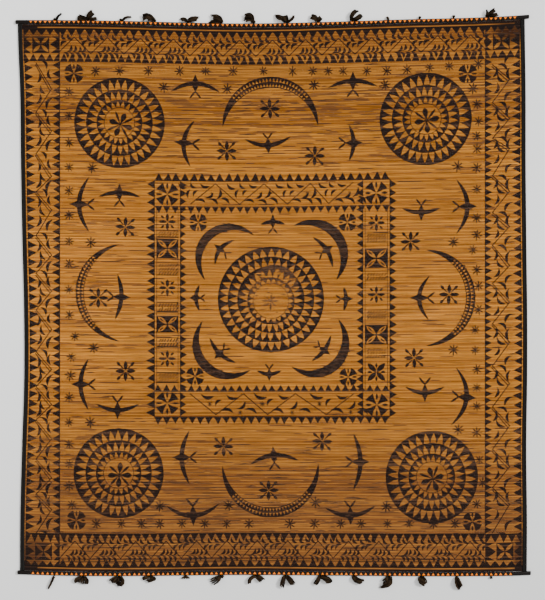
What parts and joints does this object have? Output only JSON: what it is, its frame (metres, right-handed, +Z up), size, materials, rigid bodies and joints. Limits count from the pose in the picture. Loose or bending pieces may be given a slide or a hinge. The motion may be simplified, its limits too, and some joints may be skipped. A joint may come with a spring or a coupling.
{
  "type": "split rattan floor mat",
  "caption": "Flat floor mat of threaded split-rattan slats with edge rods, side bindings and short fibre tufts along two edges.",
  "frame": {"origin": "on the floor under the middle of the mat's box, tufts included", "axes": "+X to the right along the slats, +Y away along the threads towards the top rod, +Z up out of the dyed face"},
  "size_m": [1.853, 2.0912, 0.009],
  "materials": {
    "rattan": "satin, dyed with dark figures on its face",
    "dark_cane": "satin, dyed black with a row of undyed orange points",
    "binding_cord": "matt plaited cord",
    "tuft_fibre": "matt dark bast fibre"
  },
  "bodies": {
    "root": {"binding_left": "binding_cord", "binding_right": "binding_cord", "rod_bottom": "dark_cane", "rod_top": "dark_cane", "slat_field": "rattan", "tuft_bottom_01": "tuft_fibre", "tuft_bottom_02": "tuft_fibre", "tuft_bottom_03": "tuft_fibre", "tuft_bottom_04": "tuft_fibre", "tuft_bottom_05": "tuft_fibre", "tuft_bottom_06": "tuft_fibre", "tuft_bottom_07": "tuft_fibre", "tuft_bottom_08": "tuft_fibre", "tuft_bottom_09": "tuft_fibre", "tuft_bottom_10": "tuft_fibre", "tuft_bottom_11": "tuft_fibre", "tuft_bottom_12": "tuft_fibre", "tuft_bottom_13": "tuft_fibre", "tuft_bottom_14": "tuft_fibre", "tuft_top_01": "tuft_fibre", "tuft_top_02": "tuft_fibre", "tuft_top_03": "tuft_fibre", "tuft_top_04": "tuft_fibre", "tuft_top_05": "tuft_fibre", "tuft_top_06": "tuft_fibre", "tuft_top_07": "tuft_fibre", "tuft_top_08": "tuft_fibre", "tuft_top_09": "tuft_fibre", "tuft_top_10": "tuft_fibre", "tuft_top_11": "tuft_fibre", "tuft_top_12": "tuft_fibre", "tuft_top_13": "tuft_fibre", "tuft_top_14": "tuft_fibre"}
  },
  "joints": []
}
